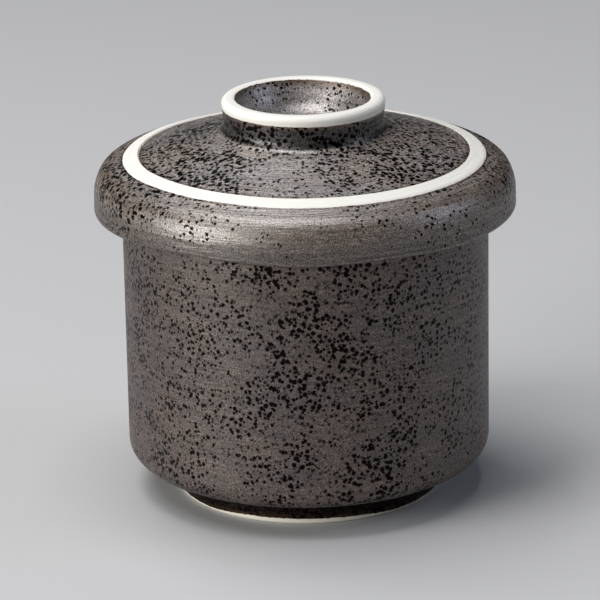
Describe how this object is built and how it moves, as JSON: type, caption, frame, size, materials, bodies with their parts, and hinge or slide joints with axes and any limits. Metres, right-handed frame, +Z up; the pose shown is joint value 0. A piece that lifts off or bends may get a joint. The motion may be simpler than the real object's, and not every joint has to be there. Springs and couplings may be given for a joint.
{
  "type": "lidded custard cup",
  "caption": "Round straight-sided stoneware cup on a turned foot, with an overhanging domed cap lid and a hollow ring knob.",
  "frame": {"origin": "centre of the foot ring on the table", "axes": "+Z up along the axis of the cup and lid; the object is turned, so X and Y are equal"},
  "size_m": [0.088, 0.088, 0.0842],
  "materials": {
    "speckled_glaze": "satin iron-speckled glaze over stoneware, with bare white clay on the lid's band and the knob's rim and a bare clay foot"
  },
  "bodies": {
    "root": {"cup": "speckled_glaze", "lid": "speckled_glaze"}
  },
  "joints": []
}
